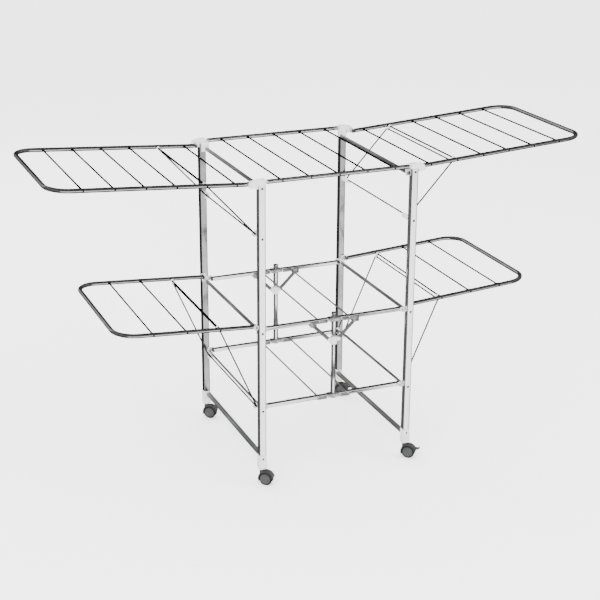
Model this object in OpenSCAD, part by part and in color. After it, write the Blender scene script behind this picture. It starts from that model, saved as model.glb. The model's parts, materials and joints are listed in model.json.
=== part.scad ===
// Folding clothes drying rack on casters. Two end frames carry a lift-off top shelf, two
// folding shelves, four drop-down wings and the wire props under the wings.
// X runs along the rack, Y across it (front is -Y), Z is up and the floor is Z = 0.

/* [End frames] */
// Distance between the left and right post centres
post_span = 556; // [540:2:600]
// Distance between the front and back post centres
post_depth = 590; // [570:2:620]
// Side of the square post tube
post_w = 25; // [25:0.5:26]
// Wall of every tube
wall = 1.2; // [1:0.1:1.5]
// Height of the top end of the posts
post_top = 1086; // [1076:1:1106]
// Height of the bottom end of the posts
post_bottom = 64; // [63:0.5:66]

/* [Levels] */
// Height of the middle shelf rails
mid_z = 571; // [559:1:579]
// Height of the lower shelf rails
low_z = 284; // [277:1:297]
// Height of the bottom crossbars
bottom_z = 98; // [94:1:104]

/* [Wings] */
// Distance from the frame centre to the tip bar of the upper wings
upper_reach = 967; // [940:1:985]
// Distance from the frame centre to the tip bar of the lower wings
lower_reach = 771; // [750:1:780]
// Upward tilt of the open wings in degrees
wing_tilt = 3.9; // [2:0.1:5]
// Bend radius of the outer corners, on the tube's centre line
corner_r = 72; // [50:1:90]
// Outside diameter of the round rails
rail_d = 15; // [14:0.5:15]
// Diameter of the drying rods
rod_d = 6; // [4:0.5:6]

/* [Casters] */
// Diameter of the caster wheels
wheel_d = 48; // [46:1:50]
// Distance of the wheel axle behind the swivel axis
trail = 16; // [14:1:18]
// Direction that the casters trail in, degrees from +X
caster_turn = -42; // [-90:1:0]

/* [Hidden] */
$fn = 48;
e = 0.02;
steel = "#c9ccd0";
white = "#efefec";
dark = "#4b4e52";
disc_grey = "#85888c";

post_r = 4;                          // corners of the post tube
post_x = post_span / 2;
post_y = post_depth / 2;
post_face = post_y - post_w / 2;     // inner face of a post, across the rack
rail_r = rail_d / 2;
rod_r = rod_d / 2;
pin_r = 2.5;
bore_r = pin_r + 0.06;               // running fit round a pin
wing_y = post_y - 24;                // wing and folding-shelf rails, inside the posts

// top shelf: a tongue on each rail end sits in a slot in the corner connector
top_z = post_top + 7;
shelf_pin_x = post_x - 6;
shelf_tube_x = shelf_pin_x - 13.5;
top_pitch = 102;

// folding shelves: square rails, pivoted at the frames and at the centre struts
bar_w = 14;
frame_pin_x = post_x - 20;           // pivot at the end frame
mid_pin_x = 16.5;                    // pivot at the strut
shelf_rod_x = 57;
strut_r = 8;
sleeve_r = 9.2;
strut_top = mid_z + 20;
strut_bottom = low_z - 10;
strap_w = 12.4;
strap_x = 80;                        // strap pivot on the shelf rail
strap_drop = 14.5;                   // and how far it lies under the rail's centre
strap_z = mid_z - strap_drop;
collar_z = strap_z - 62;             // strap pivot on the sliding collar

// wings: hinge places and the rods between the rails
upper_hinge = [post_x + 32, post_top - 3];
lower_hinge = [post_x + 13, mid_z + 12];
upper_rods = [for (i = [0:5]) 353 + 101.4 * i];
lower_rods = [for (i = [0:2]) 417 + 116 * i];

// props: closed wire loops that hang on a rod of the wing and stand in hooks on the posts
prop_r = 2.75;
prop_y = wing_y - 14;
prop_bend = 10;
prop_top_bend = 4;
prop_drop = 12.5;                    // the loop's upper wire, from the wing's rod
upper_seat = upper_rods[1];          // rods that the props hang on
lower_seat = lower_rods[0];
hook_x = post_x + 3;
upper_hook_z = 904;
lower_hook_z = 277;

// crossbars of the end frames: [distance from centre, height, radius]
top_bar = [post_x - 13, post_top - 20, 6.5];
mid_bar = [post_x - 2, mid_z - 7, 6];
low_bar = [post_x - 6.5, low_z - 2, 4];
bottom_bar = [post_x - 6, bottom_z, 9];

cap_w = post_w + 3;
plug_w = post_w - 2 * wall - 0.2;    // plastic plugs inside the post's ends
plug_corner = post_r - wall - 0.1;
cap_top = post_top + 16;
slot_w = 8.8;                        // slot in the connector for the shelf tongue
bracket_t = 3.2;

hood_r = wheel_d / 2 + 3.2;
axle_z = wheel_d / 2;
disc_in = 3.4;
disc_out = 12.6;
pocket_r = wheel_d / 2 + 0.8;        // room for the wheels under the fender
web_y = disc_in - 0.4;               // half the web's thickness
pedal_r = hood_r + 4;                // pedal pivot, from the axle
pedal_angle = 24;                    // and how far it lies above the axle, in degrees
pedal_pin_r = 1.5;
pedal_y = 7.5;                       // half the pedal's width
ear_t = 3;
stem_r = 4;
shoe_h = 52;                         // sleeve on the lower end of a post
shoe_wall = 1.6;

// ---------- shared shapes ----------

// s is -1 for the left end and 1 for the right; f is -1 for the front and 1 for the back
module mirrored(s, f = 1) {
    mirror([s < 0 ? 1 : 0, 0, 0]) mirror([0, f < 0 ? 1 : 0, 0]) children();
}

module both_y() {
    for (f = [-1, 1]) mirrored(1, f) children();
}

module rounded_square(w, r) {
    square([w - 2 * r, w], center = true);
    square([w, w - 2 * r], center = true);
    for (x = [-1, 1], y = [-1, 1]) translate([x, y] * (w / 2 - r)) circle(r, $fn = 32);
}

// a cylinder along Y between two Y values
module bar_y(x, z, y0, y1, r) {
    translate([x, y0, z]) rotate([-90, 0, 0]) cylinder(r = r, h = y1 - y0);
}

// a cylinder along X between two X values
module bar_x(y, z, x0, x1, r) {
    translate([x0, y, z]) rotate([0, 90, 0]) cylinder(r = r, h = x1 - x0);
}

// a block given by its two opposite corners
module block(a, b) {
    translate(a) cube(b - a);
}

// ---------- end frames ----------

module post(s, f) {
    color(steel) mirrored(s, f) translate([post_x, post_y, 0]) difference() {
        translate([0, 0, post_bottom]) linear_extrude(post_top - post_bottom) rounded_square(post_w, post_r);
        translate([0, 0, post_bottom - 1])
            linear_extrude(post_top - post_bottom + 2) rounded_square(post_w - 2 * wall, post_r - wall);
    }
}

module crossbar(bar) {
    difference() {
        bar_y(bar[0], bar[1], -post_face, post_face, bar[2]);
        bar_y(bar[0], bar[1], -post_face + 2, post_face - 2, bar[2] - wall);
    }
}

module top_crossbar(s) {
    color(steel) mirrored(s) crossbar(top_bar);
}

module frame_crossbars(s) {
    color(steel) mirrored(s) {
        crossbar(mid_bar);
        bar_y(low_bar[0], low_bar[1], -post_face, post_face, low_bar[2]);
        crossbar(bottom_bar);
    }
}

// white moulding on the top of a post: cap, plug, slot for the shelf and ear for the wing
module corner_connector(s, f) {
    ear_y = [post_face - 0.5, post_y + 10];
    color(white) mirrored(s, f) difference() {
        union() {
            translate([post_x, post_y, post_top]) {
                linear_extrude(cap_top - post_top) rounded_square(cap_w, 4);
                translate([0, 0, -24]) linear_extrude(24 + e) rounded_square(plug_w, plug_corner);
            }
            bar_y(upper_hinge[0], upper_hinge[1], ear_y[0], ear_y[1], 7.5);
            translate([0, ear_y[1], 0]) rotate([90, 0, 0]) linear_extrude(ear_y[1] - ear_y[0])
                polygon([
                    [post_x + post_w / 2 + 0.2, upper_hinge[1] - 9], upper_hinge + [-2, -7.2],
                    upper_hinge + [7.2, 2], upper_hinge + [2, 14], [post_x + 8, cap_top],
                    [post_x + 8, post_top + e], [post_x + post_w / 2 + 0.2, post_top + e]
                ]);
            // seat for the top crossbar
            block([top_bar[0] - top_bar[2] - 1.8, post_face - 9, top_bar[1] - top_bar[2] - 1.8],
                  [post_x + 6, post_face, post_top + 6]);
        }
        bar_y(top_bar[0], top_bar[1], post_face - 10, post_face + 1, top_bar[2]);
        // slot for the tongue of the shelf, open at the top and toward the shelf
        block([post_x - cap_w / 2 - 1, post_y - slot_w / 2, post_top + 0.8],
              [shelf_pin_x + 9, post_y + slot_w / 2, cap_top + 1]);
        bar_y(shelf_pin_x, top_z, post_y - 9, post_y + 9, bore_r);
        // the right-hand seats are open at the top, so that the shelf lifts off
        if (s > 0) block([shelf_pin_x - bore_r, post_y - 9, top_z],
                         [shelf_pin_x + bore_r, post_y + 9, cap_top + 1]);
        bar_y(upper_hinge[0], upper_hinge[1], ear_y[0] - 1, ear_y[0] + 14, pin_r);
    }
}

// white plates on the posts: shelf pivots, crossbar bosses and the hooks for the props
module post_brackets(s) {
    color(white) mirrored(s) both_y() {
        pivot_plate(mid_z, mid_bar, true);
        pivot_plate(low_z, low_bar, false);
        prop_hook(upper_hook_z);
        prop_hook(lower_hook_z);
    }
}

module pivot_plate(z, bar, wing) {
    y0 = post_face - bracket_t;
    difference() {
        union() {
            bar_y(frame_pin_x, z, y0, post_face, 9);
            block([frame_pin_x, y0, z - 9], [bar[0], post_face, z + 9]);
            if (wing) {
                bar_y(lower_hinge[0], lower_hinge[1], y0, post_face, 9);
                block([bar[0] - e, y0, z - 9], [lower_hinge[0], post_face, lower_hinge[1] + 9]);
            }
            bar_y(bar[0], bar[1], y0 - 9, post_face, bar[2] + 1.3);
        }
        bar_y(bar[0], bar[1], y0 - 10, post_face + 1, bar[2]);
        bar_y(frame_pin_x, z, y0 - 1, post_face + 1, pin_r);
        if (wing) bar_y(lower_hinge[0], lower_hinge[1], y0 - 1, post_face + 1, pin_r);
    }
}

// an arm off the post with an open seat for the prop's cross wire
module prop_hook(z) {
    y0 = prop_y - prop_bend - 16;
    y1 = prop_y - prop_bend - 2;
    x1 = hook_x - prop_r - 0.6;
    seat = z - prop_r - 0.3;
    difference() {
        union() {
            block([x1 - 7, y0, z - 8], [x1, post_face, z + 7]);
            block([x1 - e, y0, seat - 6], [hook_x + 6, y1, seat]);
            block([hook_x + prop_r + 1, y0, seat - e], [hook_x + 6, y1, seat + 2]);
        }
        bar_y(low_bar[0], low_bar[1], y0 - 1, post_face + 1, low_bar[2]);
    }
}

module rivet_head(x, z) {
    translate([x, post_y + post_w / 2, z]) rotate([-90, 0, 0]) {
        cylinder(r = 4, h = 1);
        translate([0, 0, 1 - e]) cylinder(r1 = 4, r2 = 2.4, h = 1.2);
    }
}

// a headed hinge pin from the post's inner face toward the middle of the rack
module hinge_pin(x, z) {
    bar_y(x, z, wing_y - 9.2, post_face, pin_r);
    bar_y(x, z, wing_y - 11, wing_y - 9.2 + e, 5);
}

module frame_rivets(s) {
    color("#b9bcc0") mirrored(s) both_y() {
        for (z = [post_top - 12, upper_hook_z - 2, mid_z - 3, low_z - 3, bottom_z + 1])
            rivet_head(post_x, z);
        hinge_pin(frame_pin_x, mid_z);
        hinge_pin(frame_pin_x, low_z);
        hinge_pin(lower_hinge[0], lower_hinge[1]);
        bar_y(upper_hinge[0], upper_hinge[1], wing_y - 9.2, post_face + 13, pin_r);
        bar_y(upper_hinge[0], upper_hinge[1], wing_y - 11, wing_y - 9.2 + e, 5);
    }
}

// ---------- casters ----------

module at_corner(s, f) {
    translate([s * post_x, f * post_y, 0]) rotate([0, 0, caster_turn]) children();
}

// sleeve round the end of each post, with the socket for the caster's stem inside it
module caster_sockets(s) {
    color(white) mirrored(s) both_y() translate([post_x, post_y, 0]) difference() {
        translate([0, 0, post_bottom - 4])
            linear_extrude(shoe_h) rounded_square(post_w + 2 * shoe_wall, post_r + shoe_wall);
        difference() {
            translate([0, 0, post_bottom]) linear_extrude(shoe_h) rounded_square(post_w, post_r);
            translate([0, 0, post_bottom - 1])
                linear_extrude(28) rounded_square(plug_w, plug_corner);
        }
        bar_y(bottom_bar[0] - post_x, bottom_z, -post_w, -post_w / 2, bottom_bar[2]);
        bar_y(0, bottom_z + 1, post_w / 2, post_w, 4);
        translate([0, 0, post_bottom - 5]) cylinder(r = stem_r + 0.06, h = 27);
    }
}

// swivelling part: stem and boss, web between the wheels and the fender over them
module caster_hood(s, f) {
    color(dark) at_corner(s, f) {
        translate([trail, 0, axle_z]) rotate([90, 0, 0]) difference() {
            union() {
                linear_extrude(2 * web_y, center = true) above_axle(-9) circle(r = hood_r - 1);
                linear_extrude(2 * disc_out + 0.8, center = true) above_axle(-3) difference() {
                    circle(r = hood_r);
                    circle(r = pocket_r);
                }
            }
            cylinder(r = bore_r, h = 60, center = true);
        }
        difference() {
            translate([0, 0, axle_z + 12]) cylinder(r = 9, h = post_bottom - 5 - axle_z - 12);
            bar_y(trail, axle_z, -30, 30, pocket_r + 0.8);
        }
        translate([0, 0, post_bottom - 5 - e]) cylinder(r = stem_r, h = 24);
        if (s > 0) pedal_ears();
    }
}

// keeps the part of an outline above a line that rises toward the trailing end
module above_axle(height) {
    difference() {
        children();
        rotate(18) translate([-50, height - 50]) square([100, 50]);
    }
}

// two ears on the fender of a braked caster, with the pedal's pivot bore through them
module pedal_ears() {
    translate([trail, 0, axle_z]) rotate([0, -pedal_angle, 0]) both_y() difference() {
        union() {
            bar_y(pedal_r, 0, pedal_y + 0.4, pedal_y + ear_t, 3);
            block([hood_r - 1.5, pedal_y + 0.4, -3], [pedal_r, pedal_y + ear_t, 3]);
        }
        bar_y(pedal_r, 0, 0, 20, pedal_pin_r + 0.06);
    }
}

module caster_wheels(s, f) {
    color(disc_grey) at_corner(s, f) translate([trail, 0, axle_z]) rotate([90, 0, 0]) {
        for (m = [-1, 1]) translate([0, 0, m * (disc_in + disc_out) / 2]) difference() {
            cylinder(r = wheel_d / 2, h = disc_out - disc_in, center = true, $fn = 64);
            translate([0, 0, m * (disc_out - disc_in) / 2]) difference() {
                cylinder(r = wheel_d / 2 - 4, h = 2.4, center = true);
                cylinder(r = 6, h = 3, center = true);
            }
        }
        cylinder(r = pin_r, h = 2 * disc_in + 1, center = true);
    }
}

// foot pedal at the trailing end of a braked caster
module brake_lever(s, f) {
    color(dark) at_corner(s, f) translate([trail, 0, axle_z]) rotate([0, -pedal_angle, 0]) {
        bar_y(pedal_r, 0, -pedal_y, pedal_y, 3);
        bar_y(pedal_r, 0, -pedal_y - ear_t, pedal_y + ear_t, pedal_pin_r);
        block([pedal_r, -pedal_y, -1.8], [pedal_r + 14, pedal_y, 1.8]);
    }
}

// ---------- top shelf ----------

module top_shelf_rails() {
    color(steel) both_y() difference() {
        bar_x(post_y, top_z, -shelf_tube_x, shelf_tube_x, rail_r);
        bar_x(post_y, top_z, -shelf_tube_x - 1, shelf_tube_x + 1, rail_r - wall);
        for (i = [-2:2]) bar_y(i * top_pitch, top_z, post_y - 20, post_y + 20, rod_r);
    }
}

module top_shelf_rods() {
    color(steel) for (i = [-2:2])
        bar_y(i * top_pitch, top_z, -post_y - rail_r - 0.4, post_y + rail_r + 0.4, rod_r);
}

// plugs in the rail ends, each with a flat tongue and a cross pin
module top_shelf_tongues() {
    color(white) for (s = [-1, 1]) mirrored(s) both_y() {
        bar_x(post_y, top_z, shelf_tube_x - 14, shelf_tube_x + e, rail_r - wall - 0.05);
        bar_x(post_y, top_z, shelf_tube_x, shelf_tube_x + 1, rail_r);
        block([shelf_tube_x, post_y - 4, top_z - 6], [shelf_pin_x, post_y + 4, top_z + 6]);
        bar_y(shelf_pin_x, top_z, post_y - 4, post_y + 4, 6);
        bar_y(shelf_pin_x, top_z, post_y - 8.5, post_y + 8.5, pin_r);
    }
}

// ---------- folding shelves ----------

// one half shelf: front and back square rails and the rod through them
module half_shelf(s, z) {
    color(steel) mirrored(s) {
        both_y() difference() {
            union() {
                translate([mid_pin_x, wing_y, z]) rotate([90, 0, 90])
                    linear_extrude(frame_pin_x - mid_pin_x) rounded_square(bar_w, 2.5);
                for (x = [mid_pin_x, frame_pin_x])
                    bar_y(x, z, wing_y - bar_w / 2, wing_y + bar_w / 2, bar_w / 2);
            }
            translate([mid_pin_x + 10, wing_y, z]) rotate([90, 0, 90])
                linear_extrude(frame_pin_x - mid_pin_x - 20) rounded_square(bar_w - 2 * wall, 1.4);
            for (x = [mid_pin_x, frame_pin_x]) bar_y(x, z, wing_y - 20, wing_y + 20, bore_r);
            bar_y(shelf_rod_x, z, wing_y - 20, wing_y + 20, rod_r);
        }
        bar_y(shelf_rod_x, z, -wing_y - bar_w / 2 - 0.4, wing_y + bar_w / 2 + 0.4, rod_r);
    }
}

// riveted channels under the inner rail ends; the middle ones also carry the straps
module shelf_fittings(s, z, mid) {
    x0 = mid_pin_x + 10;
    x1 = mid ? strap_x + 12 : 62;
    side = bar_w / 2;
    color(steel) mirrored(s) both_y() translate([0, wing_y, z]) difference() {
        union() {
            for (m = [-1, 1]) mirrored(1, m) {
                block([x0, side, -side - 2], [x1, side + 1.3, 3]);
                for (x = [x0 + 8, x1 - 8]) bar_y(x, -2, side + 1, side + 2, 2.5);
                if (mid) {
                    block([strap_x - 12, side, -strap_drop - 5], [x1, side + 1.3, -side]);
                    bar_y(strap_x, -strap_drop, 2, side + 2.2, 3);
                }
            }
            if (!mid) block([x0, -side - 1.3, -side - 2], [x1, side + 1.3, -side]);
        }
        bar_y(shelf_rod_x, 0, -20, 20, rod_r + 0.4);
    }
}

// ---------- centre struts ----------

module centre_struts() {
    color(steel) both_y() translate([0, wing_y, 0]) {
        difference() {
            union() {
                translate([0, 0, strut_bottom]) cylinder(r = strut_r, h = strut_top - strut_bottom);
                translate([0, 0, collar_z + 20]) cylinder(r = sleeve_r, h = strut_top - collar_z - 21);
                translate([0, 0, strut_bottom]) cylinder(r = sleeve_r, h = 98);
            }
            translate([0, 0, strut_bottom + 2])
                cylinder(r = strut_r - wall, h = strut_top - strut_bottom - 4);
        }
        translate([0, 0, strut_top]) cylinder(r = sleeve_r + 0.6, h = 3);
    }
}

// plates in front of and behind the rail ends, with the two pins through them
module strut_yokes() {
    y0 = bar_w / 2 + 2.4;
    y1 = y0 + 1.6;
    color("#b9bcc0") both_y() for (z = [mid_z, low_z]) translate([0, wing_y, z]) difference() {
        union() {
            for (m = [-1, 1]) mirrored(1, m) {
                block([-mid_pin_x, y0, -6.5], [mid_pin_x, y1, 6.5]);
                for (x = [-mid_pin_x, mid_pin_x]) bar_y(x, 0, y0, y1, 6.5);
                // a neck joins each plate to the strut
                block([-4, sleeve_r - 1.5, -6.5], [4, y0 + e, 6.5]);
            }
            for (x = [-mid_pin_x, mid_pin_x]) bar_y(x, 0, -y1 - 1, y1 + 1, pin_r);
        }
        translate([0, 0, -20]) cylinder(r = sleeve_r, h = 40);
    }
}

// sliding collar with a slot on each side for the lower end of a strap
module strut_collars() {
    color(white) both_y() translate([0, wing_y, collar_z]) difference() {
        union() {
            translate([0, 0, -16]) cylinder(r = 12, h = 26);
            for (s = [-1, 1]) {
                bar_y(s * mid_pin_x, 0, -5, 5, 7);
                block([s < 0 ? -mid_pin_x : 0, -5, -7], [s < 0 ? 0 : mid_pin_x, 5, 7]);
            }
        }
        translate([0, 0, -20]) cylinder(r = strut_r + 0.35, h = 40);
        for (s = [-1, 1]) block([s < 0 ? -40 : strut_r, -2, -8.5], [s < 0 ? -strut_r : 40, 2, 20]);
    }
}

module straps(s) {
    fall = strap_z - collar_z;
    run = strap_x - mid_pin_x;
    b = sqrt(fall * fall + run * run);
    color(steel) mirrored(s) both_y() translate([strap_x, wing_y, strap_z])
        rotate([0, 180 - atan2(fall, run), 0]) {
            block([0, -1.5, -strap_w / 2], [b, 1.5, strap_w / 2]);
            for (x = [0, b]) bar_y(x, 0, -1.5, 1.5, strap_w / 2);
        }
}

// ---------- wings ----------

// puts a flat wing, drawn from its hinge along +X, in its place on the frame
module at_hinge(s, hinge) {
    mirrored(s) translate([hinge[0], 0, hinge[1]]) rotate([0, -wing_tilt, 0]) children();
}

function along(hinge, x) = (x - hinge[0]) / cos(wing_tilt);

// one side of the bent tube: rail, corner bend and half of the tip bar, at radius r
module half_loop(length, r) {
    bar_x(wing_y, 0, 0, length - corner_r, r);
    translate([length - corner_r, wing_y - corner_r, 0])
        rotate_extrude(angle = 90, $fn = 96) translate([corner_r, 0]) circle(r, $fn = 32);
    bar_y(length, 0, 0, wing_y - corner_r, r);
}

// bent tube with a flattened, bored end at each hinge
module wing_frame(s, hinge, reach, rods) {
    length = along(hinge, reach);
    color(steel) at_hinge(s, hinge) difference() {
        both_y() union() {
            difference() {
                half_loop(length, rail_r);
                block([-1, 100, -20], [8, 400, 20]);
            }
            bar_y(0, 0, wing_y - 7.2, wing_y + 7.2, rail_r);
            block([0, wing_y - 5, -5], [9, wing_y + 5, 5]);
        }
        both_y() difference() {
            half_loop(length, rail_r - wall);
            block([-1, 100, -20], [14, 400, 20]);
        }
        both_y() bar_y(0, 0, wing_y - 20, wing_y + 20, bore_r);
        for (x = rods) bar_y(along(hinge, x), 0, -wing_y - 20, wing_y + 20, rod_r);
    }
}

module wing_rods(s, hinge, rods) {
    color(steel) at_hinge(s, hinge) for (x = rods)
        bar_y(along(hinge, x), 0, -wing_y - rail_r - 0.4, wing_y + rail_r + 0.4, rod_r);
}

// puts a prop, drawn hanging from its rod along -Z, in its place under a wing
module at_rod(s, hinge, rod, hook_z) {
    run = rod - hook_x;
    fall = rod_height(hinge, rod) - hook_z;
    mirrored(s) translate([rod, 0, rod_height(hinge, rod)]) rotate([0, atan2(run, fall), 0])
        children();
}

function rod_height(hinge, rod) = hinge[1] + (rod - hinge[0]) * tan(wing_tilt);

// wire loop: upper wire, two legs and the lower wire that stands in the hooks
module prop(s, hinge, rod, hook_z) {
    run = rod - hook_x;
    fall = rod_height(hinge, rod) - hook_z;
    length = sqrt(run * run + fall * fall);
    color(steel) at_rod(s, hinge, rod, hook_z) both_y() {
        half_wire(-prop_drop, prop_top_bend, -1);
        half_wire(-length, prop_bend, 1);
        translate([0, prop_y, -length + prop_bend])
            cylinder(r = prop_r, h = length - prop_bend - prop_drop - prop_top_bend);
    }
}

// half of a cross wire and the bend at its end, which goes up for 1 and down for -1
module half_wire(z, bend, up) {
    bar_y(0, z, 0, prop_y - bend, prop_r);
    translate([0, prop_y - bend, z + up * bend]) mirror([0, 0, up > 0 ? 0 : 1]) rotate([0, 90, 0])
        rotate_extrude(angle = 90, $fn = 64) translate([bend, 0]) circle(prop_r, $fn = 32);
}

// clips that hold the upper wire of a prop and turn on the wing's rod
module prop_clips(s, hinge, rod, hook_z) {
    y0 = prop_y - 13;
    y1 = prop_y - 4;
    color(white) at_rod(s, hinge, rod, hook_z) both_y() difference() {
        union() {
            bar_y(0, 0, y0, y1, rod_r + 2.5);
            bar_y(0, -prop_drop, y0, y1, prop_r + 2.2);
            block([-3.6, y0, -prop_drop], [3.6, y1, 0]);
        }
        bar_y(0, 0, y0 - 1, y1 + 1, rod_r + 0.06);
        bar_y(0, -prop_drop, y0 - 1, y1 + 1, prop_r);
    }
}

// ---------- assembly ----------

post(-1, -1);  // post_front_left
post(-1, 1);  // post_back_left
post(1, -1);  // post_front_right
post(1, 1);  // post_back_right
top_crossbar(-1);  // top_crossbar_left
top_crossbar(1);  // top_crossbar_right
frame_crossbars(-1);  // frame_crossbars_left
frame_crossbars(1);  // frame_crossbars_right
corner_connector(-1, -1);  // corner_connector_front_left
corner_connector(-1, 1);  // corner_connector_back_left
corner_connector(1, -1);  // corner_connector_front_right
corner_connector(1, 1);  // corner_connector_back_right
post_brackets(-1);  // post_brackets_left
post_brackets(1);  // post_brackets_right
frame_rivets(-1);  // frame_rivets_left
frame_rivets(1);  // frame_rivets_right
caster_sockets(-1);  // caster_sockets_left
caster_sockets(1);  // caster_sockets_right
caster_hood(-1, -1);  // caster_hood_front_left
caster_hood(-1, 1);  // caster_hood_back_left
caster_hood(1, -1);  // caster_hood_front_right
caster_hood(1, 1);  // caster_hood_back_right
caster_wheels(-1, -1);  // caster_wheels_front_left
caster_wheels(-1, 1);  // caster_wheels_back_left
caster_wheels(1, -1);  // caster_wheels_front_right
caster_wheels(1, 1);  // caster_wheels_back_right
brake_lever(1, -1);  // brake_lever_front_right
brake_lever(1, 1);  // brake_lever_back_right
top_shelf_rails();
top_shelf_rods();
top_shelf_tongues();
half_shelf(-1, mid_z);  // mid_shelf_left
half_shelf(1, mid_z);  // mid_shelf_right
half_shelf(-1, low_z);  // low_shelf_left
half_shelf(1, low_z);  // low_shelf_right
shelf_fittings(-1, mid_z, true);  // mid_fittings_left
shelf_fittings(1, mid_z, true);  // mid_fittings_right
shelf_fittings(-1, low_z, false);  // low_fittings_left
shelf_fittings(1, low_z, false);  // low_fittings_right
centre_struts();
strut_yokes();
strut_collars();
straps(-1);  // straps_left
straps(1);  // straps_right
wing_frame(-1, upper_hinge, upper_reach, upper_rods);  // upper_wing_left_frame
wing_frame(1, upper_hinge, upper_reach, upper_rods);  // upper_wing_right_frame
wing_frame(-1, lower_hinge, lower_reach, lower_rods);  // lower_wing_left_frame
wing_frame(1, lower_hinge, lower_reach, lower_rods);  // lower_wing_right_frame
wing_rods(-1, upper_hinge, upper_rods);  // upper_wing_left_rods
wing_rods(1, upper_hinge, upper_rods);  // upper_wing_right_rods
wing_rods(-1, lower_hinge, lower_rods);  // lower_wing_left_rods
wing_rods(1, lower_hinge, lower_rods);  // lower_wing_right_rods
prop_clips(-1, upper_hinge, upper_seat, upper_hook_z);  // upper_prop_left_clips
prop_clips(1, upper_hinge, upper_seat, upper_hook_z);  // upper_prop_right_clips
prop_clips(-1, lower_hinge, lower_seat, lower_hook_z);  // lower_prop_left_clips
prop_clips(1, lower_hinge, lower_seat, lower_hook_z);  // lower_prop_right_clips
prop(-1, upper_hinge, upper_seat, upper_hook_z);  // upper_prop_left
prop(1, upper_hinge, upper_seat, upper_hook_z);  // upper_prop_right
prop(-1, lower_hinge, lower_seat, lower_hook_z);  // lower_prop_left
prop(1, lower_hinge, lower_seat, lower_hook_z);  // lower_prop_right
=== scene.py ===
"""Looks of the folding clothes drying rack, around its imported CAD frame. Metres, +Z up."""

import json
import math

import bmesh
import bpy
from mathutils import Matrix, Vector


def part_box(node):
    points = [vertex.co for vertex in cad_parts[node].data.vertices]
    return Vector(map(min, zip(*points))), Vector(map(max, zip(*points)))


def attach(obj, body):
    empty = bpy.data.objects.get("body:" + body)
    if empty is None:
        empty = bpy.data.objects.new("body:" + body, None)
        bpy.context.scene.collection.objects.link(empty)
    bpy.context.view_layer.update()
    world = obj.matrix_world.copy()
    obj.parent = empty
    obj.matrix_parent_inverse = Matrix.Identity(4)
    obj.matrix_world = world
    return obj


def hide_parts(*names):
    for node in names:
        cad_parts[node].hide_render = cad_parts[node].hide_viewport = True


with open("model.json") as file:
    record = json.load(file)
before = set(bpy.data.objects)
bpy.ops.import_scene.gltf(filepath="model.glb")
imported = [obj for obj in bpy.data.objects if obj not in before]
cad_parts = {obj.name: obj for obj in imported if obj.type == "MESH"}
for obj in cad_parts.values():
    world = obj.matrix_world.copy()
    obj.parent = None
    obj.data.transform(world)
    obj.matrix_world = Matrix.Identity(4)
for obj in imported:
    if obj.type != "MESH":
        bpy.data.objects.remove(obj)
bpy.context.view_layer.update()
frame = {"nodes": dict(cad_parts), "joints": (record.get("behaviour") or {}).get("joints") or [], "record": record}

MM = 0.001
MERGE = 0.002 * MM    # vertices nearer than this are one
SIDES = {"left": -1, "right": 1}
DEPTHS = {"front": -1, "back": 1}
LEVELS = ("upper", "lower")
JOINTS = {j["name"]: j for j in frame["joints"]}


# ---------- camera, floor and light ----------


def make_camera():
    """The camera stands in front of the rack, to its left and a little above it."""
    lens_mm = 84.24
    bearing, drop, roll = math.radians(22.86), math.radians(20.56), math.radians(0.345)
    data = bpy.data.cameras.new("camera")
    data.sensor_width = 36
    data.lens = lens_mm
    camera = bpy.data.objects.new("camera", data)
    camera.location = (-1.8645, -4.3903, 2.3337)
    turn = Matrix.Rotation(-bearing, 4, "Z") @ Matrix.Rotation(math.pi / 2 - drop, 4, "X")
    camera.rotation_euler = (turn @ Matrix.Rotation(roll, 4, "Z")).to_euler()
    bpy.context.scene.collection.objects.link(camera)
    bpy.context.scene.camera = camera


def make_floor():
    """A plain pale floor. The steel doesn't mirror it and shows the studio instead."""
    reach = 40
    corners = [(x * reach, y * reach, 0) for x, y in ((-1, -1), (1, -1), (1, 1), (-1, 1))]
    data = bpy.data.meshes.new("floor")
    data.from_pydata(corners, [], [(0, 1, 2, 3)])
    floor = bpy.data.objects.new("floor", data)
    floor.visible_glossy = False
    bpy.context.scene.collection.objects.link(floor)
    material = bpy.data.materials.new("floor_white")
    material.use_nodes = True
    shader = material.node_tree.nodes["Principled BSDF"]
    shader.inputs["Base Color"].default_value = (0.97, 0.97, 0.97, 1)
    shader.inputs["Roughness"].default_value = 0.8
    shader.inputs["Specular IOR Level"].default_value = 0.2
    data.materials.append(material)


def area_light(name, place, target, size, power):
    """A soft light aimed at the target. Sizes in metres, power in watts."""
    data = bpy.data.lights.new(name, "AREA")
    data.shape = "RECTANGLE"
    data.size, data.size_y = size
    data.energy = power
    light = bpy.data.objects.new(name, data)
    light.location = place
    light.rotation_euler = (Vector(target) - Vector(place)).to_track_quat("-Z", "Y").to_euler()
    light.visible_glossy = False
    bpy.context.scene.collection.objects.link(light)


def height_ramp(tree, height, stops):
    """Brightness by the height of a direction, from -1 straight down to 1 straight up."""
    ramp = tree.nodes.new("ShaderNodeValToRGB")
    elements = ramp.color_ramp.elements
    for level, _ in stops[1:-1]:
        elements.new((level + 1) / 2)
    for element, (_, grey) in zip(elements, stops):
        element.color = (grey, grey, grey, 1)
    remapped = map_range(tree, height, -1, 1, 0, 1)
    tree.links.new(remapped, ramp.inputs[0])
    return ramp.outputs[0]


def map_range(tree, source, low, high, to_low, to_high):
    node = tree.nodes.new("ShaderNodeMapRange")
    values = {"From Min": low, "From Max": high, "To Min": to_low, "To Max": to_high}
    for name, value in values.items():
        node.inputs[name].default_value = value
    tree.links.new(source, node.inputs["Value"])
    return node.outputs["Result"]


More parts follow.
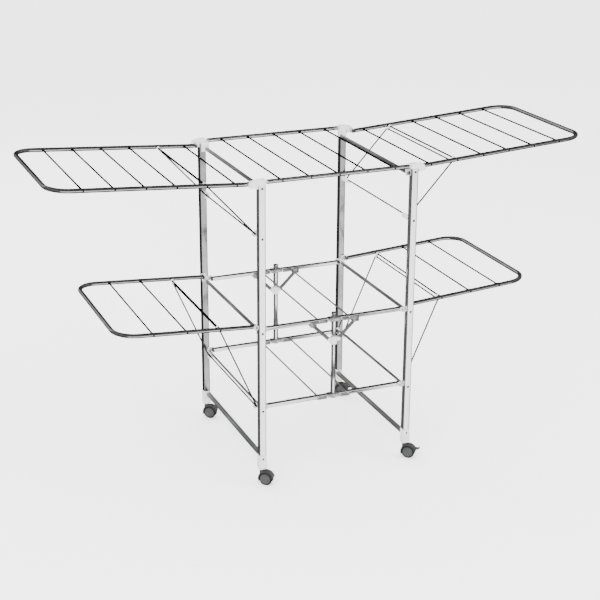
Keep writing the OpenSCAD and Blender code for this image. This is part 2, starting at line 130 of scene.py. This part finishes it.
def mix_colours(tree, factor, a, b):
    node = tree.nodes.new("ShaderNodeMix")
    node.data_type = "RGBA"
    tree.links.new(factor, node.inputs["Factor"])
    for name, source in (("A", a), ("B", b)):
        if isinstance(source, tuple):
            node.inputs[name].default_value = source
        else:
            tree.links.new(source, node.inputs[name])
    return node.outputs["Result"]


def product(tree, *factors):
    """The factors multiplied together."""
    result = factors[0]
    for factor in factors[1:]:
        node = tree.nodes.new("ShaderNodeMath")
        node.operation = "MULTIPLY"
        tree.links.new(result, node.inputs[0])
        tree.links.new(factor, node.inputs[1])
        result = node.outputs[0]
    return result


def make_studio():
    """An even bright surround, and for polished steel the striped studio that it would mirror."""
    world = bpy.data.worlds.new("studio")
    world.use_nodes = True
    bpy.context.scene.world = world
    tree = world.node_tree
    direction = tree.nodes.new("ShaderNodeTexCoord").outputs["Generated"]
    split = tree.nodes.new("ShaderNodeSeparateXYZ")
    tree.links.new(direction, split.inputs[0])
    across, height = split.outputs["X"], split.outputs["Z"]
    frontness = tree.nodes.new("ShaderNodeVectorMath")
    frontness.operation = "DOT_PRODUCT"
    frontness.inputs[1].default_value = TO_CAMERA
    tree.links.new(direction, frontness.inputs[0])
    is_front = map_range(tree, frontness.outputs["Value"], 0.2, 0.6, 0, 1)
    is_back = map_range(tree, frontness.outputs["Value"], -0.3, -0.5, 0, 1)
    is_left = map_range(tree, across, -0.08, -0.2, 0, 1)
    above_tables = map_range(tree, height, -0.2, -0.1, 0, 1)
    behind, ahead = height_ramp(tree, height, BACK_STUDIO), height_ramp(tree, height, FRONT_STUDIO)
    mirrored = mix_colours(tree, is_front, behind, ahead)
    sideways = tree.nodes.new("ShaderNodeMath")
    sideways.operation = "ABSOLUTE"
    tree.links.new(across, sideways.inputs[0])
    is_side = map_range(tree, sideways.outputs[0], 0.5, 0.62, 0, 1)
    mirrored = mix_colours(tree, is_side, mirrored, (SIDE_CURTAIN, SIDE_CURTAIN, SIDE_CURTAIN, 1))
    panel = product(tree, is_back, is_left, above_tables)
    mirrored = mix_colours(tree, panel, mirrored, (BACK_PANEL, BACK_PANEL, BACK_PANEL, 1))
    strength = tree.nodes.new("ShaderNodeVectorMath")
    strength.operation = "SCALE"
    strength.inputs["Scale"].default_value = MIRRORED
    tree.links.new(mirrored, strength.inputs[0])
    rays = tree.nodes.new("ShaderNodeLightPath")
    ambient = (AMBIENT, AMBIENT, AMBIENT, 1)
    surround = mix_colours(tree, rays.outputs["Is Glossy Ray"], ambient, strength.outputs[0])
    tree.links.new(surround, tree.nodes["Background"].inputs["Color"])
    for name, place, size, power in LIGHTS:
        area_light(name, place, RACK_MIDDLE, size, power)


# soft lights: name, place, size and power
LIGHTS = [
    ("key", (-2.6, -3.2, 4.6), (2.4, 2.4), 270),
    ("fill", (3.4, -2.4, 3.4), (2.0, 2.6), 130),
    ("back", (-1.2, 4.2, 2.6), (2.2, 0.7), 78),
]
RACK_MIDDLE = (0, 0, 0.6)
# brightness of the studio by the height of a direction, from -1 straight down to 1 straight up,
# shaped so that the streaks on the steel look right from the camera's side
FRONT_STUDIO = [
    (-1, 0.005), (-0.88, 0.008), (-0.7, 0.05), (-0.5, 0.5), (-0.3, 0.6), (-0.16, 0.05), (0.4, 0.035),
    (0.62, 0.006), (1, 0.004),
]
BACK_STUDIO = [(-1, 0.005), (-0.5, 0.02), (-0.3, 0.03), (0.0, 0.015), (0.25, 0.01), (0.6, 0.006), (1, 0.004)]
TO_CAMERA = (-0.39, -0.92, 0)     # level direction from the rack to the camera
BACK_PANEL = 0.12                 # brightness of the panel behind the rack, to its left
SIDE_CURTAIN = 0.025              # brightness of the dark curtains at both sides
MIRRORED = 5.2                    # strength of the studio in mirroring surfaces
AMBIENT = 3.8                     # strength of the even light on everything else
make_camera()
make_floor()
make_studio()


# ---------- materials ----------


NOISE_SPAN = (0.3, 0.7)    # where nearly all values of a noise texture lie


class Finish:
    """A Principled material built on object coordinates in metres."""

    def __init__(self, name, **values):
        self.material = bpy.data.materials.new(name)
        self.material.use_nodes = True
        self.tree = self.material.node_tree
        self.shader = self.tree.nodes["Principled BSDF"]
        self.coordinates = self.tree.nodes.new("ShaderNodeTexCoord").outputs["Object"]
        for socket, value in values.items():
            self.shader.inputs[socket.replace("_", " ")].default_value = value

    def noise(self, scale, detail=3.0, stretch=(1, 1, 1)):
        mapping = self.tree.nodes.new("ShaderNodeMapping")
        mapping.inputs["Scale"].default_value = stretch
        self.tree.links.new(self.coordinates, mapping.inputs["Vector"])
        node = self.tree.nodes.new("ShaderNodeTexNoise")
        node.inputs["Scale"].default_value = scale
        node.inputs["Detail"].default_value = detail
        self.tree.links.new(mapping.outputs[0], node.inputs["Vector"])
        return node.outputs["Fac"]

    def colour(self, source, dark, light):
        factor = map_range(self.tree, source, *NOISE_SPAN, 0, 1)
        mixed = mix_colours(self.tree, factor, (*dark, 1), (*light, 1))
        self.tree.links.new(mixed, self.shader.inputs["Base Color"])

    def roughness(self, source, low, high):
        spread = map_range(self.tree, source, *NOISE_SPAN, low, high)
        self.tree.links.new(spread, self.shader.inputs["Roughness"])

    def bump(self, source, depth):
        node = self.tree.nodes.new("ShaderNodeBump")
        node.inputs["Distance"].default_value = depth
        self.tree.links.new(source, node.inputs["Height"])
        self.tree.links.new(node.outputs[0], self.shader.inputs["Normal"])


def steel(name, along, dark, light, rough, edge):
    """Stainless tube, wire or plate: fine draw lines along one axis, faint smudges and a darker rim."""
    made = Finish(name, Metallic=1.0, Specular_Tint=(edge, edge, edge, 1))
    lines = made.noise(1800, 2.0, [0.02 if axis == along else 1.0 for axis in "xyz"])
    made.colour(made.noise(14, 4.0), dark, light)
    made.roughness(lines, *rough)
    made.bump(lines, 0.000008)
    return made.material


def plastic(name, dark, light, rough, grain, subsurface=0.0):
    """Moulded plastic with a fine grain and slight unevenness in colour."""
    made = Finish(name, IOR=1.49, Subsurface_Weight=subsurface, Subsurface_Scale=0.002)
    made.colour(made.noise(35, 4.0), dark, light)
    made.roughness(made.noise(260, 3.0), *rough)
    made.bump(made.noise(2600, 2.0), grain)
    return made.material


POST = steel("polished_post", "z", (0.86, 0.865, 0.87), (0.94, 0.945, 0.95), (0.08, 0.16), 0.6)
# painted shade: the back posts get a darker copy of the posts' steel, as they look darker than the front ones from
# the camera's side; the same steel in reality
POST_PAINTED_SHADE = steel("post_painted_shade", "z", (0.2, 0.201, 0.203), (0.34, 0.341, 0.343), (0.08, 0.16), 0.3)
TUBE = steel("polished_tube", "x", (0.72, 0.723, 0.726), (0.8, 0.803, 0.806), (0.12, 0.2), 0.3)
LOOP = steel("bent_tube", "x", (0.52, 0.523, 0.526), (0.62, 0.623, 0.626), (0.12, 0.2), 0.25)
CROSSBAR = steel("drawn_crossbar", "y", (0.5, 0.502, 0.505), (0.58, 0.582, 0.585), (0.34, 0.44), 0.3)
# painted reflection: the rods' steel is made near black, for how dark the rods look from the camera's side, where
# they mirror the dark back of the studio
ROD_PAINTED_DARK = steel("steel_rod_painted_dark", "y", (0.012, 0.012, 0.0125), (0.02, 0.02, 0.021), (0.2, 0.32), 0.01)
PROP_WIRE = steel("steel_wire", "z", (0.07, 0.07, 0.071), (0.11, 0.11, 0.112), (0.2, 0.32), 0.03)
PLATE = steel("pressed_plate", "x", (0.3, 0.301, 0.303), (0.38, 0.381, 0.383), (0.3, 0.42), 0.3)
STRAP = steel("flat_strap", "x", (0.14, 0.141, 0.143), (0.2, 0.201, 0.203), (0.32, 0.45), 0.15)
YOKE = steel("folded_plate", "x", (0.62, 0.622, 0.625), (0.72, 0.722, 0.725), (0.3, 0.42), 0.4)
PIN = steel("rivet_steel", "y", (0.1, 0.1, 0.103), (0.16, 0.16, 0.163), (0.2, 0.3), 0.1)
WHITE = plastic("white_plastic", (0.5, 0.5, 0.49), (0.58, 0.58, 0.57), (0.34, 0.48), 0.00003, 0.05)
HOOD = plastic(
    "dark_grey_plastic", (0.03, 0.0303, 0.0308), (0.045, 0.0453, 0.0458), (0.4, 0.55), 0.00005
)
DISC = plastic(
    "mid_grey_plastic", (0.036, 0.0363, 0.0367), (0.048, 0.0483, 0.0487), (0.45, 0.6), 0.00004
)
TREAD = plastic("wheel_tread", (0.003, 0.003, 0.003), (0.005, 0.005, 0.005), (0.5, 0.65), 0.00006)
# black for the dark rings round the rods, and a painted shadow on the casters' fender bands
BLACK_AND_SHADOW = plastic("black_rings_and_painted_shadow", (0.0012, 0.0012, 0.0013), (0.002, 0.002, 0.002), (0.4, 0.5), 0.00003)


def paint(obj, material):
    obj.data.materials.clear()
    obj.data.materials.append(material)


# the material of the CAD nodes whose names start so, first match first
NODE_MATERIAL = [
    # the back posts take the darker copy of the steel, a painted shade
    ("post_brackets", WHITE), ("post_back", POST_PAINTED_SHADE), ("post_", POST), ("top_crossbar", CROSSBAR),
    ("frame_crossbars", CROSSBAR), ("corner_connector", WHITE), ("frame_rivets", PIN),
    ("caster_sockets", WHITE), ("caster_hood", HOOD), ("caster_wheels", DISC), ("brake_lever", HOOD),
    ("top_shelf_rails", TUBE), ("top_shelf_rods", ROD_PAINTED_DARK), ("top_shelf_tongues", WHITE),
    ("mid_shelf", TUBE), ("low_shelf", TUBE), ("mid_fittings", PLATE), ("low_fittings", PLATE),
    ("centre_struts", POST), ("strut_yokes", YOKE), ("strut_collars", WHITE), ("straps", STRAP),
]


def material_of(node):
    if node.endswith("_frame"):
        return LOOP
    if node.endswith("_clips"):
        return WHITE
    if node.endswith("_rods"):
        return ROD_PAINTED_DARK
    if "_prop_" in node:
        return PROP_WIRE
    return next(material for start, material in NODE_MATERIAL if node.startswith(start))


# ---------- mesh tools ----------


def add_piece(name, mesh_bm, material, body, node=None, sharp=40):
    """Turns a bmesh in the frame's coordinates into a named piece on a body."""
    bmesh.ops.recalc_face_normals(mesh_bm, faces=mesh_bm.faces)
    data = bpy.data.meshes.new(name)
    mesh_bm.to_mesh(data)
    mesh_bm.free()
    data.shade_smooth()
    data.set_sharp_from_angle(angle=math.radians(sharp))
    piece = bpy.data.objects.new(name, data)
    bpy.context.scene.collection.objects.link(piece)
    paint(piece, material)
    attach(piece, body)
    if node:
        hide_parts(node)
    return piece


def body_of(node):
    return next(body for body, nodes in frame["record"]["behaviour"]["bodies"].items() if node in nodes)


def softened(node, width, segments=2):
    """The CAD node's shape with its sharp edges rounded."""
    bm = bmesh.new()
    bm.from_mesh(frame["nodes"][node].data)
    bmesh.ops.remove_doubles(bm, verts=bm.verts, dist=MERGE)
    bmesh.ops.dissolve_limit(bm, angle_limit=math.radians(1), verts=bm.verts, edges=bm.edges)
    edges = [e for e in bm.edges if len(e.link_faces) == 2 and e.calc_face_angle() > math.radians(35)]
    bmesh.ops.bevel(
        bm, geom=edges, offset=width, segments=segments, profile=0.5, affect="EDGES", clamp_overlap=True
    )
    bmesh.ops.triangulate(bm, faces=bm.faces)
    return add_piece(f"{node}_rounded", bm, material_of(node), body_of(node), node)


def fillet(path, radii, step=math.radians(7.5)):
    """The path with an arc at every inner corner, one radius for each."""
    path = [Vector(p) for p in path]
    made = [path[0]]
    for before, corner, after, radius in zip(path, path[1:], path[2:], radii):
        a, b = (before - corner).normalized(), (after - corner).normalized()
        turn = math.pi - a.angle(b)
        centre = corner + (a + b).normalized() * (radius / math.cos(turn / 2))
        start = corner + a * radius * math.tan(turn / 2) - centre
        axis = a.cross(b).normalized()
        count = max(2, round(turn / step))
        made += [centre + Matrix.Rotation(-turn * i / count, 3, axis) @ start for i in range(count + 1)]
    return made + [path[-1]]


def ring(bm, centre, one, other, radius, sides):
    """A circle of vertices round the centre, in the plane of two unit vectors."""
    angles = [2 * math.pi * k / sides for k in range(sides)]
    return [bm.verts.new(centre + (one * math.cos(t) + other * math.sin(t)) * radius) for t in angles]


def skin(bm, one, two):
    """The band of faces between two rings."""
    for k in range(len(one)):
        bm.faces.new((one[k - 1], one[k], two[k], two[k - 1]))


def tube(path, radius, sides=24):
    """A closed round bar along a path."""
    bm = bmesh.new()
    rings = []
    side = None
    for i, point in enumerate(path):
        along = (path[min(i + 1, len(path) - 1)] - path[max(i - 1, 0)]).normalized()
        if side is None:
            side = along.orthogonal().normalized()
        else:
            side = (side - along * side.dot(along)).normalized()
        rings.append(ring(bm, point, side, along.cross(side), radius, sides))
    for one, two in zip(rings, rings[1:]):
        skin(bm, one, two)
    bm.faces.new(rings[0])
    bm.faces.new(rings[-1][::-1])
    return bm


def closed_tube(path, radius, sides=16):
    """A round bar along a closed path, joined end to end."""
    count = len(path)
    bm = bmesh.new()
    turns = [(path[i] - path[0]).cross(path[(i + 1) % count] - path[0]) for i in range(count)]
    normal = sum(turns, Vector())
    normal.normalize()
    rings = []
    for i, point in enumerate(path):
        along = (path[(i + 1) % count] - path[i - 1]).normalized()
        rings.append(ring(bm, point, normal.cross(along), normal, radius, sides))
    for i in range(count):
        skin(bm, rings[i - 1], rings[i])
    return bm


def turned(bm, place, profile, start=0.0, end=2 * math.pi, sides=48):
    """Sweeps a profile of (radius, height) points round the Z axis of the matrix place, into bm."""
    whole = abs(end - start) > 2 * math.pi - 1e-6
    count = sides if whole else sides + 1
    rings = []
    for i in range(count):
        t = start + (end - start) * i / sides
        points = [Vector((r * math.cos(t), r * math.sin(t), h)) for r, h in profile]
        rings.append([bm.verts.new(place @ point) for point in points])
    for i in range(count if whole else count - 1):
        skin(bm, rings[i], rings[(i + 1) % count])
    if not whole:
        bm.faces.new(rings[0])
        bm.faces.new(rings[-1][::-1])
    return bm


def frame_matrix(origin, z_axis, x_hint):
    """A matrix with the given origin and Z axis, and X as near the hint as it can be."""
    z = Vector(z_axis).normalized()
    x = Vector(x_hint)
    x = (x - z * x.dot(z)).normalized()
    y = z.cross(x)
    return Matrix((x.to_4d(), y.to_4d(), z.to_4d(), Vector(origin).to_4d())).transposed()


def islands(node):
    """The lowest and highest corner of every separate solid in a CAD node."""
    bm = bmesh.new()
    bm.from_mesh(frame["nodes"][node].data)
    bmesh.ops.remove_doubles(bm, verts=bm.verts, dist=MERGE)
    left, found = set(bm.verts), []
    while left:
        stack, group = [left.pop()], []
        while stack:
            vert = stack.pop()
            group.append(vert.co.copy())
            for edge in vert.link_edges:
                other = edge.other_vert(vert)
                if other in left:
                    left.remove(other)
                    stack.append(other)
        low = Vector([min(c[k] for c in group) for k in range(3)])
        high = Vector([max(c[k] for c in group) for k in range(3)])
        found.append((low, high))
    bm.free()
    return found


# ---------- CAD nodes with softened edges ----------

# radius of the softened edges in mm, by how the node's name starts
EDGE = [
    ("corner_connector", 1.0), ("post_brackets", 0.6), ("caster_sockets", 0.9), ("brake_lever", 0.6),
    ("top_shelf_tongues", 0.6), ("strut_collars", 0.9), ("strut_yokes", 0.4), ("straps", 0.45),
    ("mid_fittings", 0.35), ("low_fittings", 0.35), ("frame_rivets", 0.3), ("centre_struts", 0.8),
    ("top_shelf_rods", 0.5), ("mid_shelf", 0.4), ("low_shelf", 0.4), ("caster_hood", 0.8),
]
# nodes that are swept again below as smooth tubes and wires
BENT = ("wing_left_frame", "wing_right_frame", "prop_left", "prop_right")
SWEPT = [f"{level}_{part}" for level in LEVELS for part in BENT]


def edge_of(node):
    if node.endswith("_clips"):
        return 0.6
    if node.endswith("_rods"):
        return 0.5
    return next((width for start, width in EDGE if node.startswith(start)), 0.0)


for node, cad in frame["nodes"].items():
    paint(cad, material_of(node))
    if node not in SWEPT and not node.startswith("caster_wheels"):
        softened(node, edge_of(node) * MM)


# ---------- bent tubes and wires ----------

WING_CORNER_R = 72 * MM
RAIL_CUT = 10 * MM                # where the round rail begins, from the hinge
END_CUT = 12 * MM                 # where the flattened end stops, inside the rail
PROP_BENDS = (4 * MM, 10 * MM)    # bend radii at a prop's head and foot
PROP_DROP = 12.5 * MM             # from the rod that a prop hangs on to its upper bar
WIRE_R = 2.75 * MM
shelf_low, shelf_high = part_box("top_shelf_rails")
RAIL_R = (shelf_high.z - shelf_low.z) / 2
WING_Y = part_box("upper_wing_left_frame")[1].y - RAIL_R


def wing_hinge(level, side):
    name = f"fold_wings_{side}" if level == "lower" else f"fold_upper_wing_{side}"
    return Vector(JOINTS[name]["pos_m"])


def hinge_ends(node, hinge, outward):
    """The flattened and bored ends of a wing's rail, cut from the CAD shape."""
    bm = bmesh.new()
    bm.from_mesh(frame["nodes"][node].data)
    bmesh.ops.remove_doubles(bm, verts=bm.verts, dist=MERGE)
    everything = bm.verts[:] + bm.edges[:] + bm.faces[:]
    cut = bmesh.ops.bisect_plane(
        bm, geom=everything, plane_co=hinge + outward * END_CUT, plane_no=outward, clear_outer=True
    )
    rims = [e for e in cut["geom_cut"] if isinstance(e, bmesh.types.BMEdge)]
    bmesh.ops.holes_fill(bm, edges=rims)
    add_piece(f"{node}_ends", bm, LOOP, body_of(node), node)


def wing_loop(level, side):
    """The bent rail of a wing, swept smoothly from one hinge eye to the other."""
    node = f"{level}_wing_{side}_frame"
    hinge = wing_hinge(level, side)
    low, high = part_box(node)
    tip_x = low.x + RAIL_R if side == "left" else high.x - RAIL_R
    tip = Vector((tip_x, 0, high.z - RAIL_R))
    start = hinge + (tip - hinge).normalized() * RAIL_CUT
    across = Vector((0, WING_Y, 0))
    path = fillet([start - across, tip - across, tip + across, start + across], [WING_CORNER_R] * 2)
    add_piece(f"{node}_tube", tube(path, RAIL_R, 32), LOOP, body_of(node), node)
    hinge_ends(node, hinge, (tip - hinge).normalized())


def prop_loop(level, side):
    """The closed wire loop that props a wing: it hangs on a rod and stands in the hooks."""
    node = f"{level}_prop_{side}"
    low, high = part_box(node)
    pivot = Vector(JOINTS[f"turn_{level}_prop_{side}"]["pos_m"])
    pivot.y = 0
    foot = Vector((high.x - WIRE_R if side == "left" else low.x + WIRE_R, 0, low.z + WIRE_R))
    head = pivot + (foot - pivot).normalized() * PROP_DROP
    leg = Vector((0, high.y - WIRE_R, 0))
    corners = [head - leg, foot - leg, foot + leg, head + leg]
    middle = (corners[0] + corners[3]) / 2
    head_bend, foot_bend = PROP_BENDS
    path = fillet([middle] + corners + [middle], [head_bend, foot_bend, foot_bend, head_bend])
    add_piece(f"{node}_loop", closed_tube(path[:-1], WIRE_R), PROP_WIRE, body_of(node), node)


for side in SIDES:
    for level in LEVELS:
        wing_loop(level, side)
        prop_loop(level, side)


# ---------- dark rings where the rods go through the rails ------------

DARK_RING_R = 5.4 * MM
DARK_RING_OUT, DARK_RING_IN = 1.6 * MM, 2.8 * MM    # how far it stands out of the rail and reaches into it
DARK_RING_RIM = 0.5 * MM                       # chamfer of the flange
DARK_RING_GRIP = 0.05 * MM                     # the ring is this much tighter than the rod
WIDEST_ROD = 12 * MM                      # anything wider in a node of rods isn't a rod


def rod_dark_rings(rods, rail_y, half_width):
    """A dark flanged ring round each end of every rod, on the inner side of the rails."""
    bm = bmesh.new()
    for low, high in islands(rods):
        middle = (low + high) / 2
        if high.x - low.x > WIDEST_ROD:
            continue
        hole = (high.x - low.x) / 2 - DARK_RING_GRIP
        for f in DEPTHS.values():
            place = frame_matrix((middle.x, f * (rail_y - half_width), middle.z), (0, f, 0), (1, 0, 0))
            profile = [
                (hole, -DARK_RING_OUT), (DARK_RING_R - DARK_RING_RIM, -DARK_RING_OUT), (DARK_RING_R, DARK_RING_RIM - DARK_RING_OUT),
                (DARK_RING_R, DARK_RING_IN), (hole, DARK_RING_IN),
            ]
            turned(bm, place, profile, sides=24)
    add_piece(f"{rods}_dark_rings", bm, BLACK_AND_SHADOW, body_of(rods))


rod_dark_rings("top_shelf_rods", shelf_high.y - RAIL_R, RAIL_R)
for side in SIDES:
    for level in LEVELS:
        rod_dark_rings(f"{level}_wing_{side}_rods", WING_Y, RAIL_R)


# ---------- casters ----------

# profiles in mm: (distance from the axle, distance from the caster's middle), for wheels of 24 mm
# radius under a fender of 27.2 mm radius
TYRE = [
    (18.5, 3.4), (23.2, 3.4), (24, 4.4), (24, 6.6), (23.7, 6.8), (23.7, 7.2), (24, 7.4), (24, 10.6),
    (23.3, 12.0), (21.6, 12.6), (18.5, 12.3),
]
DISC_FACE = [
    (0.3, 3.6), (18.6, 3.6), (18.6, 12.5), (17.7, 12.6), (16.7, 12.1), (16.0, 11.2), (8.8, 10.9),
    (7.9, 11.9), (6.8, 12.4), (3.0, 12.6), (0.3, 12.6),
]
AXLE = [(0.3, -3.7), (2.8, -3.7), (2.8, 3.7), (0.3, 3.7)]
FENDER_BAND = [
    (26.6, 10.2), (27.2, 9.4), (27.9, 9.8), (28.1, 10.8), (27.9, 11.9), (27.2, 12.6), (26.6, 12.2),
]
FENDER_MIDDLE = [(26.8, -1.6), (27.6, -1.2), (27.8, 0), (27.6, 1.2), (26.8, 1.6)]
# the part of the circle that each raised band covers, from the side that trails
BAND_SPAN = (math.radians(16), math.radians(198))
MIDDLE_SPAN = (math.radians(60), math.radians(190))


def in_metres(profile, flip=1):
    """A profile in metres, mirrored to the other wheel when flip is -1."""
    return [(r * MM, h * flip * MM) for r, h in profile]


def caster(corner):
    """Two wheels with tyres and dished discs, and raised bands on the fender painted black: a painted shadow for
    the dark gap at the fender's rim and the dark line along its middle.
    """
    roll = JOINTS[f"roll_{corner}"]
    swivel = Vector(JOINTS[f"swivel_{corner}"]["pos_m"])
    axle, axis = Vector(roll["pos_m"]), -Vector(roll["axis"])
    place = frame_matrix(axle, axis, (axle.x - swivel.x, axle.y - swivel.y, 0))
    tyres, discs, shadow_bands = bmesh.new(), bmesh.new(), bmesh.new()
    for flip in (-1, 1):
        turned(tyres, place, in_metres(TYRE, flip), sides=64)
        turned(discs, place, in_metres(DISC_FACE, flip), sides=64)
        turned(shadow_bands, place, in_metres(FENDER_BAND, flip), *BAND_SPAN, 40)
    turned(discs, place, in_metres(AXLE), sides=24)
    turned(shadow_bands, place, in_metres(FENDER_MIDDLE), *MIDDLE_SPAN, 32)
    wheels = f"caster_wheels_{corner}"
    add_piece(f"{wheels}_tyres", tyres, TREAD, f"wheels_{corner}", wheels)
    add_piece(f"{wheels}_discs", discs, DISC, f"wheels_{corner}", wheels, sharp=30)
    # the fender's bands are painted black, a painted shadow along its rim and middle
    add_piece(f"caster_hood_{corner}_bands", shadow_bands, BLACK_AND_SHADOW, f"caster_{corner}")


for depth in DEPTHS:
    for side in SIDES:
        caster(f"{depth}_{side}")
